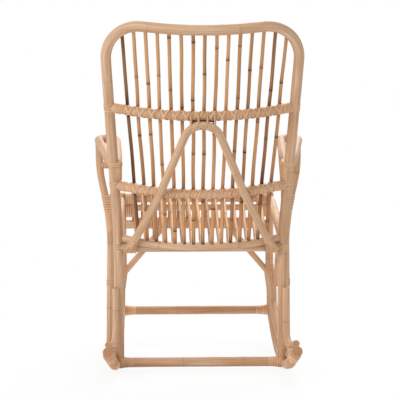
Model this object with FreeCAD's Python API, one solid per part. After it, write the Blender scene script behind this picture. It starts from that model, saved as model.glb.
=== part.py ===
import FreeCAD, Part
import math
import os

# Rattan rocking chair: the sitter faces -Y, +X is the sitter's left, sizes in millimetres
Vector = FreeCAD.Vector

# Poles and peel
post_diameter = 28.0
rail_diameter = 27.0
spindle_diameter = 10.0
back_brace_diameter = 22.0
spindle_rail_diameter = 22.0
runner_diameter = 26.0
stretcher_diameter = 27.0
side_rail_diameter = 26.0
middle_rail_diameter = 20.0
corner_brace_diameter = 19.0
leg_brace_diameter = 20.0
arm_diameter = 26.0
arm_post_diameter = 21.0
inner_post_diameter = 17.0
rung_diameter = 16.0
peel_diameter = 2.8
peel_pitch = 4.2
collar_turns = 5
joint_gap = 0.3

# Back frame
leg_spread = 233.5
rear_leg_y = 262.0
back_bend_z = 430.0
back_bend_radius = 260.0
recline = math.radians(18.5)
back_length = 626.0
back_fan = 0.0455
corner_radius = 100.0
crest_bow = 75.0
crest_radius = 440.0

# Back rails, spindles and brace
upper_rail_height = 386.5
lower_rail_height = 153.0
rail_bow = 64.0
back_spindle_count = 15
crest_spacing = 31.2
upper_spacing = 29.4
lower_spacing = 27.0
bottom_spacing = 25.8
spindle_set_over = 4.0
spindle_bend_radius = 500.0
spindle_bend_room = 0.4
brace_cross_x = 119.0
brace_foot_x = 200.0
brace_top_radius = 52.0
brace_bend_radius = 300.0
brace_bend_room = 2.0
brace_let_in = 3.0
brace_seat_angle = math.radians(60.0)

# Seat
rear_rail_z = 388.0
spindle_rail_y = 255.0
spindle_rail_bow = 62.0
front_leg_spread = 236.0
front_leg_y = -268.0
front_leg_top = 466.0
front_rail_y = -252.0
front_rail_z = 452.0
middle_rail_z = 421.0
lower_front_z = 365.0
front_spacing = 28.7
side_rail_spread = 239.0
side_rail_rear_z = 400.0
side_rail_front_z = 448.0

# Arms
arm_height = 215.0
arm_front_y = -12.0
arm_front_z = 666.0
arm_front_spread = 270.0
arm_front_half_gap = 26.0
arm_post_y = 12.0
arm_post_foot_x = 269.5
arm_post_bend_radius = 600.0
arm_shoulder_z = 575.0
arm_shoulder_radius = 400.0
post_ring_z = 234.0
inner_post_foot_z = 425.0
rung_z = 592.0

# Runners, braces and stretchers
rocker_radius = 1050.0
rocker_y = 60.0
rocker_low_z = 27.0
runner_spread = 243.0
runner_shift = 5.0
runner_tail_shift = 15.0
runner_bend_radius = 58.0
inner_runner_tail = 425.0
outer_runner_tail = 455.0
inner_runner_top = 207.0
leg_sway_low = 148.0
leg_sway_high = 222.0
leg_sway_radius = 150.0
inner_sway_low = 144.0
inner_top_x = 234.0
leg_wrap_room = 0.6
wear_flat = 0.5
leg_brace_spread = 241.0
leg_brace_top = 275.0
leg_brace_tail = 430.0
leg_brace_radius = 70.0
front_stretcher_z = 78.0
front_stretcher_back = 8.0
stretcher_lift = 6.0
stretcher_wrap_in = 25.0
corner_brace_x = 98.0
corner_brace_z = 203.0
side_brace_top_x = 255.0
side_brace_foot_x = 258.0
side_brace_y = -60.0
side_brace_z = 165.0

# Sizes that follow from those above
post_radius = post_diameter / 2
rail_radius = rail_diameter / 2
spindle_radius = spindle_diameter / 2
runner_radius = runner_diameter / 2
wound_clearance = joint_gap + peel_diameter + joint_gap
spindle_stand_off = -(rail_radius + spindle_radius + joint_gap + spindle_bend_room)
runner_rise = runner_diameter + joint_gap
inner_leg_y = front_leg_y - runner_rise
outer_runner_spread = runner_spread + runner_shift
runner_splay = (runner_tail_shift - runner_shift) / (outer_runner_tail - front_leg_y)
rocker_centre_z = rocker_low_z + rocker_radius
rear_runner_z = rocker_centre_z - math.sqrt(rocker_radius ** 2 - (rear_leg_y - rocker_y) ** 2)
rear_stretcher_z = rear_runner_z + stretcher_lift
leg_foot_z = rear_stretcher_z - stretcher_diameter / 2
back_up = Vector(0, math.sin(recline), math.cos(recline))
back_out = Vector(0, math.cos(recline), -math.sin(recline))
post_direction = Vector(back_fan, back_up.y, back_up.z).normalize()
across = Vector(1, 0, 0)
upright = Vector(0, 0, 1)
origin = Vector(0, 0, 0)

# How the curves are drawn
bend_share = 0.48
collar_steps = 2
rail_steps = 4
gap_samples = 24
gap_turns_apart = 0.6
tangent_step = 0.001

pieces = {}


def unit(vector):
    return Vector(vector).normalize()


def bent_wire(points, radii):
    """Straight runs joined by tangent arcs, one radius for each inner point."""
    edges = []
    start = points[0]
    for before, corner, after, radius in zip(points, points[1:], points[2:], radii):
        arrive = unit(corner - before)
        leave = unit(after - corner)
        half_turn = arrive.getAngle(leave) / 2
        room = bend_share * min((corner - before).Length, (after - corner).Length)
        setback = min(radius * math.tan(half_turn), room)
        bend = setback / math.tan(half_turn)
        inward = unit(leave - arrive)
        middle = corner + inward * (bend / math.cos(half_turn) - bend)
        arc_start = corner - arrive * setback
        arc_end = corner + leave * setback
        edges.append(Part.makeLine(start, arc_start))
        edges.append(Part.Arc(arc_start, middle, arc_end).toShape())
        start = arc_end
    edges.append(Part.makeLine(start, points[-1]))
    return Part.Wire(edges)


def swept(wire, diameter):
    """A round pole along a wire of lines and tangent arcs."""
    first = wire.OrderedEdges[0]
    begin = first.valueAt(first.FirstParameter)
    ring = Part.makeCircle(diameter / 2, begin, first.tangentAt(first.FirstParameter))
    return wire.makePipeShell([Part.Wire(ring)], True, False)


def room_for(wire, diameter, extra=joint_gap):
    """The space that a pole takes up, with a little play round it."""
    return swept(wire, diameter + 2 * extra)


def coped(shape, *spaces):
    """A pole whose end is shaped to seat against its neighbours."""
    for space in spaces:
        shape = max(shape.cut(space).Solids, key=lambda solid: solid.Volume)
    return shape


def mirrored(shape):
    return shape.mirror(origin, across)


def add_pair(name, shape):
    pieces[name + "_left"] = shape
    pieces[name + "_right"] = mirrored(shape)


def both_sides(shape):
    return [shape, mirrored(shape)]


def back_point(x, height, out=0.0):
    """A point given by its height up the leaning back and its distance behind it."""
    return Vector(x, rear_leg_y, back_bend_z) + back_up * height + back_out * out


def post_x(height):
    return leg_spread + back_fan * height


def bow_radius(half_span, bow):
    return (half_span ** 2 + bow ** 2) / (2 * bow)


def bow_depth(x, half_span, bow, offset=0.0):
    """How far a bowed rail's middle line, or a line beside it, lies behind the rail's ends."""
    radius = bow_radius(half_span, bow)
    return bow - radius + math.sqrt((radius + offset) ** 2 - x ** 2)


def arc_wire(first, middle, last):
    return Part.Wire([Part.Arc(first, middle, last).toShape()])


def rail_wire(height):
    end = post_x(height)
    return arc_wire(back_point(end, height), back_point(0, height, rail_bow), back_point(-end, height))


def biarc(begin, begin_tangent, end, end_tangent):
    """Two tangent arcs between two points with given directions."""
    chord = end - begin
    tangents = begin_tangent + end_tangent
    spread = 2 * (1 - begin_tangent.dot(end_tangent))
    along = chord.dot(tangents)
    reach = (math.sqrt(along ** 2 + spread * chord.dot(chord)) - along) / spread
    first_corner = begin + begin_tangent * reach
    last_corner = end - end_tangent * reach
    joint = (first_corner + last_corner) * 0.5
    return [corner_arc(begin, first_corner, joint), corner_arc(joint, last_corner, end)]


def corner_arc(begin, corner, end):
    """The arc that leaves begin towards corner and reaches end from it."""
    middle = (begin + end) * 0.5
    half_chord = (end - begin).Length / 2
    angle = (corner - begin).getAngle(end - begin)
    bulge = unit(corner - middle) * half_chord * math.tan(angle / 2)
    return Part.Arc(begin, middle + bulge, end).toShape()


def least_gap(place, turns):
    """The least distance of a winding to itself, between its surfaces."""
    count = int(turns * gap_samples)
    apart = int(gap_samples * gap_turns_apart)
    track = [place(index / gap_samples) for index in range(count + 1)]
    least = min((track[i] - track[j]).Length for i in range(count + 1) for j in range(i + apart, count + 1))
    return least - peel_diameter


def wound(name, place, turns, steps_per_turn):
    """One unbroken strip of peel along place(turn), with straight ends."""
    count = turns * steps_per_turn
    stations = [turns * index / count for index in range(count + 1)]
    points = [place(turn) for turn in stations]
    tangents = [unit(place(turn + tangent_step) - place(turn - tangent_step)) for turn in stations]
    edges = [Part.makeLine(points[0] - tangents[0] * peel_diameter, points[0])]
    for index in range(count):
        edges += biarc(points[index], tangents[index], points[index + 1], tangents[index + 1])
    edges.append(Part.makeLine(points[-1], points[-1] + tangents[-1] * peel_diameter))
    print(name, "winding, least gap to itself", round(least_gap(place, turns), 2), "mm")
    return swept(Part.Wire(edges), peel_diameter)


def collar(name, centre, axis, diameter, turns):
    """A short winding round a straight stretch of pole."""
    axis = unit(axis)
    side = unit(axis.cross(Vector(0, 1, 0)))
    other = axis.cross(side)
    radius = diameter / 2 + joint_gap + peel_diameter / 2

    def place(turn):
        angle = 2 * math.pi * turn
        ring = side * (radius * math.cos(angle)) + other * (radius * math.sin(angle))
        return centre + ring + axis * ((turn - turns / 2) * peel_pitch)

    return wound(name, place, turns, collar_steps)


def rail_winding(name, height, spacing):
    """The strip that binds a bowed back rail, once round between each two spindles."""
    half_span = post_x(height)
    radius = bow_radius(half_span, rail_bow)
    winding_radius = rail_radius + joint_gap + peel_diameter / 2
    turns = back_spindle_count - 1

    def place(turn):
        angle = 2 * math.pi * turn
        x = (turn - turns / 2) * spacing - spindle_set_over
        lean = math.asin(x / (radius + spindle_stand_off))
        reach = radius + winding_radius * math.cos(angle)
        centre = back_point(0, height, rail_bow - radius)
        behind = across * (reach * math.sin(lean)) + back_out * (reach * math.cos(lean))
        return centre + behind + back_up * (winding_radius * math.sin(angle))

    return wound(name, place, turns, rail_steps)


# Back frame: rear legs, posts and crest in one bent pole
top_corner = back_point(post_x(back_length), back_length)
crest_middle = back_point(0, back_length, crest_bow)
bend_corner = Vector(leg_spread, rear_leg_y, back_bend_z)
leg_foot = Vector(leg_spread, rear_leg_y, leg_foot_z)
half_frame = [leg_foot, bend_corner, top_corner]
other_half = [Vector(-point.x, point.y, point.z) for point in reversed(half_frame)]
frame_radii = [back_bend_radius, corner_radius, crest_radius, corner_radius, back_bend_radius]
frame_wire = bent_wire(half_frame + [crest_middle] + other_half, frame_radii)
frame_room = room_for(frame_wire, post_diameter)
wound_frame_room = room_for(frame_wire, post_diameter, wound_clearance)

# Back rails, bowed to the rear between the posts
back_rails = {"upper_back_rail": upper_rail_height, "lower_back_rail": lower_rail_height}
for name, height in back_rails.items():
    pieces[name] = coped(swept(rail_wire(height), rail_diameter), wound_frame_room)

# Rear seat rails: a straight one, and a bowed one on it that takes the spindles
rear_rail_wire = bent_wire([Vector(leg_spread, rear_leg_y, rear_rail_z),
                            Vector(-leg_spread, rear_leg_y, rear_rail_z)], [])
rear_rail_room = room_for(rear_rail_wire, rail_diameter)
pieces["rear_seat_rail"] = coped(swept(rear_rail_wire, rail_diameter), wound_frame_room)
rails_apart = rail_radius + spindle_rail_diameter / 2 + joint_gap
setting = (rear_leg_y - spindle_rail_y) * math.sin(recline)
spindle_rail_z = rear_rail_z + (rails_apart + setting) / math.cos(recline)


def spindle_rail_point(x):
    """A point on the bowed seat rail's middle line."""
    depth = bow_depth(x, leg_spread, spindle_rail_bow)
    return Vector(x, spindle_rail_y, spindle_rail_z) + back_out * depth


spindle_rail_wire = arc_wire(spindle_rail_point(leg_spread), spindle_rail_point(0),
                             spindle_rail_point(-leg_spread))
spindle_rail_room = room_for(spindle_rail_wire, spindle_rail_diameter)
pieces["rear_spindle_rail"] = coped(swept(spindle_rail_wire, spindle_rail_diameter), frame_room)

# Back spindles, in front of the two rails, from the crest to the bowed seat rail
spindle_middle = (back_spindle_count - 1) / 2
crest_lean = math.atan2(crest_bow, top_corner.x)


def rail_pass(x, height):
    """Where a spindle's middle line passes a bowed back rail."""
    return back_point(x, height, bow_depth(x, post_x(height), rail_bow, spindle_stand_off))


def crest_depth(x):
    """How far the crest's middle line lies behind the posts."""
    if abs(x) > crest_radius * math.sin(crest_lean):
        return crest_bow * (1 - abs(x) / top_corner.x)
    return crest_bow - crest_radius / math.cos(crest_lean) + math.sqrt(crest_radius ** 2 - x ** 2)


for number in range(back_spindle_count):
    step = number - spindle_middle
    low = rail_pass(step * lower_spacing - spindle_set_over, lower_rail_height)
    high = rail_pass(step * upper_spacing - spindle_set_over, upper_rail_height)
    foot = spindle_rail_point(step * bottom_spacing - spindle_set_over)
    crest_x = step * crest_spacing - spindle_set_over
    top = back_point(crest_x, back_length, crest_depth(crest_x))
    wire = bent_wire([foot, low, high, top], [spindle_bend_radius, spindle_bend_radius])
    spindle = coped(swept(wire, spindle_diameter), frame_room, spindle_rail_room)
    pieces["back_spindle_%02d" % (number + 1)] = spindle

pieces["back_frame"] = swept(frame_wire, post_diameter)

# Back brace, over both rails from behind
brace_stand_off = rail_radius + wound_clearance + back_brace_diameter / 2
cross_stand_off = brace_stand_off + brace_bend_room
brace_depth = bow_depth(brace_cross_x, post_x(lower_rail_height), rail_bow, cross_stand_off)
brace_cross = back_point(brace_cross_x, lower_rail_height, brace_depth)
upper_middle = back_point(0, upper_rail_height, rail_bow)
apex = upper_middle + Vector(0, math.cos(brace_seat_angle), -math.sin(brace_seat_angle)) * brace_stand_off
cross_middle = Vector(0, brace_cross.y, brace_cross.z)
apex_height = (apex - cross_middle).Length
arc_height = apex_height - brace_top_radius
tangent_length = math.sqrt(brace_cross_x ** 2 + arc_height ** 2 - brace_top_radius ** 2)
brace_height = brace_cross_x * (brace_cross_x * arc_height + brace_top_radius * tangent_length)
brace_height /= brace_cross_x ** 2 - brace_top_radius ** 2
brace_vertex = cross_middle + unit(apex - cross_middle) * brace_height
foot_offset = rail_radius + back_brace_diameter / 2 - brace_let_in
brace_foot = Vector(brace_foot_x, rear_leg_y + foot_offset, rear_rail_z)
half_brace = [brace_foot, brace_cross]
other_brace = [Vector(-point.x, point.y, point.z) for point in reversed(half_brace)]
brace_wire = bent_wire(half_brace + [brace_vertex] + other_brace,
                       [brace_bend_radius, brace_top_radius, brace_bend_radius])
pieces["back_brace"] = coped(swept(brace_wire, back_brace_diameter), rear_rail_room, spindle_rail_room)

# Runners: two poles a side, bent up in front; the outer one is the front leg


def runner_wire(spread, rise, tail, upper_points, upper_radii):
    """The rocker's arc from the tail, a tight bend, then the leg."""
    radius = rocker_radius - rise
    leg_y = inner_leg_y + rise
    bend = runner_bend_radius - rise
    reach = radius - bend
    front_angle = math.asin((rocker_y - leg_y - bend) / reach)
    tail_angle = math.asin((tail - rocker_y) / radius)

    def on_rocker(angle):
        rearward = radius * math.sin(angle)
        return Vector(spread, rocker_y + rearward, rocker_centre_z - radius * math.cos(angle))

    bend_centre = Vector(spread, rocker_y - reach * math.sin(front_angle),
                         rocker_centre_z - reach * math.cos(front_angle))
    middle_turn = (front_angle + math.pi / 2) / 2
    bend_middle = bend_centre + Vector(0, -bend * math.sin(middle_turn), -bend * math.cos(middle_turn))
    bend_end = bend_centre + Vector(0, -bend, 0)
    middle_angle = (tail_angle - front_angle) / 2
    rocker = Part.Arc(on_rocker(tail_angle), on_rocker(middle_angle), on_rocker(-front_angle))
    turn_up = Part.Arc(on_rocker(-front_angle), bend_middle, bend_end)
    leg = bent_wire([bend_end] + upper_points, upper_radii)
    return Part.Wire([rocker.toShape(), turn_up.toShape()] + leg.Edges)


leg_sway = (outer_runner_spread - front_leg_spread) / (leg_sway_high - leg_sway_low)
inner_wire = runner_wire(runner_spread, 0.0, inner_runner_tail,
                         [Vector(runner_spread, inner_leg_y, inner_sway_low),
                          Vector(inner_top_x, inner_leg_y, inner_runner_top)], [leg_sway_radius])
outer_wire = runner_wire(outer_runner_spread, runner_rise, outer_runner_tail,
                         [Vector(outer_runner_spread, front_leg_y, leg_sway_low),
                          Vector(front_leg_spread, front_leg_y, leg_sway_high),
                          Vector(front_leg_spread, front_leg_y, front_leg_top)],
                        [leg_sway_radius, leg_sway_radius])
splay_angle = math.degrees(math.atan(runner_splay))
outer_wire.rotate(Vector(outer_runner_spread, front_leg_y, 0), upright, -splay_angle)


def outer_runner_x(y):
    """Where the outer pole's middle line is at a place along the chair."""
    return outer_runner_spread + runner_splay * (y - front_leg_y)


inner_room = room_for(inner_wire, runner_diameter)
outer_room = room_for(outer_wire, runner_diameter)
wound_outer_room = room_for(outer_wire, runner_diameter, wound_clearance + 2 * leg_wrap_room)
add_pair("inner_runner", swept(inner_wire, runner_diameter))
add_pair("outer_runner", swept(outer_wire, runner_diameter))
runner_rooms = both_sides(inner_room) + both_sides(outer_room)
pieces["back_frame"] = coped(pieces["back_frame"], *runner_rooms)

# Stretchers between the inner runners
stretchers = {"rear_stretcher": (rear_leg_y, rear_stretcher_z),
              "front_stretcher": (inner_leg_y + front_stretcher_back, front_stretcher_z)}
for name, (y, z) in stretchers.items():
    wire = bent_wire([Vector(runner_spread, y, z), Vector(-runner_spread, y, z)], [])
    pieces[name] = coped(swept(wire, stretcher_diameter), frame_room, *both_sides(inner_room))

# Front rails between the legs
over_rail = rail_radius + spindle_radius + joint_gap
spindle_drop_y = front_rail_y - over_rail
middle_rail_y = spindle_drop_y + spindle_radius + middle_rail_diameter / 2 + joint_gap
front_rails = {"front_top_rail": (front_rail_y, front_rail_z, rail_diameter),
               "front_middle_rail": (middle_rail_y, middle_rail_z, middle_rail_diameter),
               "front_lower_rail": (spindle_drop_y, lower_front_z, rail_diameter)}
rail_end = side_rail_spread - side_rail_diameter / 2 - joint_gap
front_room = {}
for name, (y, z, diameter) in front_rails.items():
    wire = bent_wire([Vector(rail_end, y, z), Vector(-rail_end, y, z)], [])
    front_room[name] = room_for(wire, diameter)
    pieces[name] = coped(swept(wire, diameter), *both_sides(outer_room))

# Side seat rails from the posts to the front legs
side_wire = bent_wire([Vector(side_rail_spread, rear_leg_y, side_rail_rear_z),
                       Vector(side_rail_spread, front_leg_y, side_rail_front_z)], [])
side_room = room_for(side_wire, side_rail_diameter)
side_rail = coped(swept(side_wire, side_rail_diameter), wound_frame_room, outer_room)
add_pair("side_seat_rail", side_rail)

# Seat spindles from the bowed rail over the front top rail and down to the lower one
seat_spindles = []
for number in range(back_spindle_count):
    step = number - spindle_middle
    rear = spindle_rail_point(step * bottom_spacing)
    front_x = step * front_spacing
    slope = math.atan2(front_rail_z + over_rail - rear.z, rear.y - front_rail_y)
    over_z = front_rail_z + over_rail / math.cos(slope)
    corner = Vector(front_x, spindle_drop_y, over_z + over_rail * math.tan(slope))
    wire = bent_wire([rear, corner, Vector(front_x, spindle_drop_y, lower_front_z)], [over_rail])
    seat_spindles.append(coped(swept(wire, spindle_diameter), spindle_rail_room, rear_rail_room,
                               front_room["front_lower_rail"]))
pieces["seat_spindles"] = Part.makeCompound(seat_spindles)

# Arms: a flat hairpin each, its two ends seated on the post
arm_rear = back_point(post_x(arm_height), arm_height)
rear_half_gap = (arm_diameter + joint_gap) / 2
turn_y = arm_front_y + arm_diameter / 2 + arm_front_half_gap


def arm_end(side):
    return Vector(arm_rear.x + side * rear_half_gap, arm_rear.y, arm_rear.z)


def arm_turn(side):
    return Vector(arm_front_spread + side * arm_front_half_gap, turn_y, arm_front_z)


def arm_corner(side):
    run = arm_turn(side) - arm_end(side)
    return arm_turn(side) + unit(run) * arm_front_half_gap


arm_wire = bent_wire([arm_end(1), arm_corner(1), arm_corner(-1), arm_end(-1)],
                     [arm_front_half_gap, arm_front_half_gap])
arm_room = room_for(arm_wire, arm_diameter)
add_pair("arm_loop", coped(swept(arm_wire, arm_diameter), wound_frame_room))

# Arm posts: the outer one goes on down to the runner, the inner one is scarfed to it
side_rail_slope = (side_rail_front_z - side_rail_rear_z) / (rear_leg_y - front_leg_y)
side_rail_here = side_rail_rear_z + side_rail_slope * (rear_leg_y - arm_post_y)
post_beside_rail = side_rail_spread + (side_rail_diameter + arm_post_diameter) / 2 + joint_gap
outer_top = Vector(arm_front_spread + arm_front_half_gap, arm_post_y, arm_front_z)
post_knee = Vector(post_beside_rail, arm_post_y, side_rail_here)
outer_radius = rocker_radius - runner_rise
runner_here = rocker_centre_z - math.sqrt(outer_radius ** 2 - (arm_post_y - rocker_y) ** 2)
post_foot = Vector(arm_post_foot_x, arm_post_y, runner_here)
post_shoulder = Vector(outer_top.x, arm_post_y, arm_shoulder_z)
arm_post_wire = bent_wire([post_foot, post_knee, post_shoulder, outer_top],
                          [arm_post_bend_radius, arm_shoulder_radius])
arm_post = coped(swept(arm_post_wire, arm_post_diameter), arm_room, outer_room, inner_room, side_room)
add_pair("arm_post", arm_post)
arm_post_room = room_for(arm_post_wire, arm_post_diameter)
inner_top = Vector(arm_front_spread - arm_front_half_gap, arm_post_y, arm_front_z)
inner_foot = Vector(post_knee.x, arm_post_y, inner_post_foot_z)
inner_post_wire = bent_wire([inner_foot, inner_top], [])
inner_post = coped(swept(inner_post_wire, inner_post_diameter), arm_room, arm_post_room, side_room)
add_pair("inner_arm_post", inner_post)
inner_post_room = room_for(inner_post_wire, inner_post_diameter)
rung_wire = bent_wire([Vector(inner_top.x, arm_post_y, rung_z), Vector(outer_top.x, arm_post_y, rung_z)], [])
add_pair("arm_rung", coped(swept(rung_wire, rung_diameter), arm_post_room, inner_post_room))

# Braces: front corner, side corner and rear leg
corner_wire = bent_wire([Vector(corner_brace_x, spindle_drop_y, lower_front_z),
                         Vector(front_leg_spread, front_leg_y, corner_brace_z)], [])
corner_brace = coped(swept(corner_wire, corner_brace_diameter), front_room["front_lower_rail"],
                     wound_outer_room, inner_room)
add_pair("corner_brace", corner_brace)
side_brace_top_z = side_rail_rear_z + side_rail_slope * (rear_leg_y - side_brace_y)
side_brace_wire = bent_wire([Vector(side_brace_top_x, side_brace_y, side_brace_top_z),
                             Vector(side_brace_foot_x, front_leg_y, side_brace_z)], [])
add_pair("side_brace", coped(swept(side_brace_wire, corner_brace_diameter), side_room, outer_room))
brace_y = rear_leg_y + post_radius + leg_brace_diameter / 2 + joint_gap
over_runner = runner_radius + leg_brace_diameter / 2 + joint_gap


def above_runner(y):
    """The middle of a pole that lies on the outer runner."""
    radius = rocker_radius - runner_rise - over_runner
    return rocker_centre_z - math.sqrt(radius ** 2 - (y - rocker_y) ** 2)


leg_brace_wire = bent_wire([Vector(leg_brace_spread, brace_y, leg_brace_top),
                            Vector(leg_brace_spread, brace_y, above_runner(brace_y)),
                            Vector(outer_runner_x(leg_brace_tail), leg_brace_tail,
                                   above_runner(leg_brace_tail))],
                           [leg_brace_radius])
add_pair("rear_leg_brace", coped(swept(leg_brace_wire, leg_brace_diameter), frame_room, *runner_rooms))

# Peel windings
pieces["upper_rail_winding"] = rail_winding("upper rail", upper_rail_height, upper_spacing)
pieces["lower_rail_winding"] = rail_winding("lower rail", lower_rail_height, lower_spacing)


def post_collar(name, height):
    return collar(name, back_point(post_x(height), height), post_direction, post_diameter, collar_turns)


back_collars = []
for name, height in (("upper rail end", upper_rail_height), ("lower rail end", lower_rail_height)):
    back_collars += both_sides(post_collar(name, height))
pieces["back_post_windings"] = Part.makeCompound(back_collars)
pieces["arm_windings"] = Part.makeCompound(both_sides(post_collar("arm", arm_height)))
rear_rail_end = Vector(leg_spread, rear_leg_y, rear_rail_z)
seat_collar = collar("seat rail end", rear_rail_end, upright, post_diameter, collar_turns)
pieces["seat_windings"] = Part.makeCompound(both_sides(seat_collar))
post_line = unit(post_knee - post_foot)
ring_middle = post_foot + post_line * ((post_ring_z - post_foot.z) / post_line.z)
post_ring = collar("arm post", ring_middle, post_line, arm_post_diameter, collar_turns)
pieces["arm_post_windings"] = Part.makeCompound(both_sides(post_ring))
sway_angle = math.atan(leg_sway)
sway_line = Vector(-math.sin(sway_angle / 2), 0, math.cos(sway_angle / 2))
sway_depth = leg_sway_radius * (1 / math.cos(sway_angle / 2) - 1)
sway_corner = Vector(front_leg_spread, front_leg_y, leg_sway_high)
leg_wrap_middle = sway_corner + sway_line.cross(Vector(0, 1, 0)) * -sway_depth
leg_wrap_diameter = runner_diameter + 2 * leg_wrap_room
leg_collar = collar("front leg", leg_wrap_middle, sway_line, leg_wrap_diameter, collar_turns)
pieces["leg_windings"] = Part.makeCompound(both_sides(leg_collar))
stretcher_collars = []
for name, (y, z) in stretchers.items():
    centre = Vector(runner_spread - runner_radius - stretcher_wrap_in, y, z)
    stretcher_collars += both_sides(collar(name, centre, across, stretcher_diameter, collar_turns))
pieces["stretcher_windings"] = Part.makeCompound(stretcher_collars)

# At rest the chair rolls back on its runners until its weight is over the place where they touch
moment = Vector(0, 0, 0)
volume = 0.0
for shape in pieces.values():
    for solid in shape.Solids:
        moment += solid.CenterOfMass * solid.Volume
        volume += solid.Volume
weight = moment * (1 / volume)
rest_tilt = math.atan2(weight.y - rocker_y, rocker_centre_z - weight.z)
rocker_centre = Vector(0, rocker_y, rocker_centre_z)
for shape in pieces.values():
    shape.rotate(rocker_centre, across, -math.degrees(rest_tilt))

# Each inner runner is worn flat where it stands
floor_z = rocker_low_z - runner_radius + wear_flat
floor_middle = Vector(0, rocker_y, floor_z - runner_diameter)
below_floor = Part.makeCylinder(rocker_radius, runner_diameter, floor_middle)
for side in ("left", "right"):
    pieces["inner_runner_" + side] = coped(pieces["inner_runner_" + side], below_floor)

# The chair stands on the floor at z 0, with its box centred on the origin
box = FreeCAD.BoundBox()
for shape in pieces.values():
    box.add(shape.optimalBoundingBox(False, False))
place = Vector(0, -(box.YMin + box.YMax) / 2, -floor_z)
os.makedirs("parts", exist_ok=True)
for name, shape in pieces.items():
    shape.translate(place)
    shape.exportStep("parts/" + name + ".step")
print("size", round(box.XLength, 1), round(box.YLength, 1), round(box.ZLength, 1))
print("tilt at rest", round(math.degrees(rest_tilt), 2), "degrees, stands at y", round(rocker_y + place.y, 1))
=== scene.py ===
import math
import random

import bpy
import numpy as np
from mathutils import Matrix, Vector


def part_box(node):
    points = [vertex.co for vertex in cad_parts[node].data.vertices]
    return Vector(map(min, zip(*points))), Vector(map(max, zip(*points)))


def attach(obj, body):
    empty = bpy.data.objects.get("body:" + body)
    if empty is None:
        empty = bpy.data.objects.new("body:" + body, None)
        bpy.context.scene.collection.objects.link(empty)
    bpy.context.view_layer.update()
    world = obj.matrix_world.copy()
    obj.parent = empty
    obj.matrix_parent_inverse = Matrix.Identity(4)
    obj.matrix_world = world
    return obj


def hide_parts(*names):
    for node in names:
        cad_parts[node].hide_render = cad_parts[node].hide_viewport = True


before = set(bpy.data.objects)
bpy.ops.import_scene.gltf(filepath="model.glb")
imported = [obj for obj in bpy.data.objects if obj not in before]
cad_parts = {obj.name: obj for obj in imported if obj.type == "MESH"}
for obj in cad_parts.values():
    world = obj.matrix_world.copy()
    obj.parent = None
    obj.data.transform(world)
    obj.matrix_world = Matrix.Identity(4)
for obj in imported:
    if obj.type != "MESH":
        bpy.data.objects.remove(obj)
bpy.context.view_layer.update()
chance = random.Random(7)

# Rattan rocking chair, drawn upright in millimetres (sitter faces -Y, +X is the sitter's left) and then
# rolled back with the solids; the photograph shows it from behind
METRES = 0.001
X_AXIS, Y_AXIS, Z_AXIS = np.eye(3)

# Thickness of each kind of cane, the play between canes, and the peel as drawn here and in the solids
POST, RAIL, SPINDLE, BRACE, SPINDLE_RAIL, RUNNER = 28.0, 27.0, 10.0, 22.0, 22.0, 26.0
STRETCHER, SIDE_RAIL, MIDDLE_RAIL, CORNER_BRACE, LEG_BRACE = 27.0, 26.0, 20.0, 19.0, 20.0
ARM, ARM_POST, INNER_POST, RUNG = 26.0, 21.0, 17.0, 16.0
GAP, PEEL, SOLID_PEEL = 0.3, 1.2, 2.8

# Back: posts and crest, bowed rails, spindles, brace
LEG_X, LEG_Y, LEG_FOOT_Z, BEND_Z, RECLINE = 233.5, 262.0, 52.0, 430.0, math.radians(18.5)
BACK_LENGTH, BACK_FAN, CREST_BOW = 626.0, 0.0455, 75.0
CREST_RADIUS, CORNER_RADIUS, BEND_RADIUS = 440.0, 100.0, 260.0
UPPER, LOWER, RAIL_BOW = 386.5, 153.0, 64.0
SPINDLES, CREST_STEP, UPPER_STEP, LOWER_STEP, FOOT_STEP, FRONT_STEP = 15, 31.2, 29.4, 27.0, 25.8, 28.7
SPINDLE_BEND, SPINDLE_ROOM, SET_OVER = 500.0, 0.4, 4.0
BRACE_CROSS_X, BRACE_FOOT_X, BRACE_TOP, BRACE_BEND, BRACE_ROOM = 119.0, 200.0, 52.0, 300.0, 2.0
BRACE_SEAT, BRACE_LET_IN = math.radians(60.0), 3.0

# Seat
REAR_RAIL_Z, SPINDLE_RAIL_Y, SPINDLE_RAIL_BOW = 388.0, 255.0, 62.0
FRONT_LEG_X, FRONT_LEG_Y, FRONT_LEG_TOP = 236.0, -268.0, 466.0
FRONT_RAIL_Y, FRONT_RAIL_Z, MIDDLE_RAIL_Z, LOWER_FRONT_Z = -252.0, 452.0, 421.0, 365.0
SIDE_X, SIDE_REAR_Z, SIDE_FRONT_Z = 239.0, 400.0, 448.0

# Arms
ARM_HEIGHT, ARM_FRONT_Y, ARM_FRONT_Z, ARM_X, ARM_HALF = 215.0, -12.0, 666.0, 270.0, 26.0
ARM_POST_Y, ARM_POST_FOOT_X, ARM_POST_BEND = 12.0, 269.5, 600.0
SHOULDER_Z, SHOULDER_BEND = 575.0, 400.0
INNER_FOOT_Z, RUNG_Z, RING_Z = 425.0, 592.0, 234.0

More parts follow.
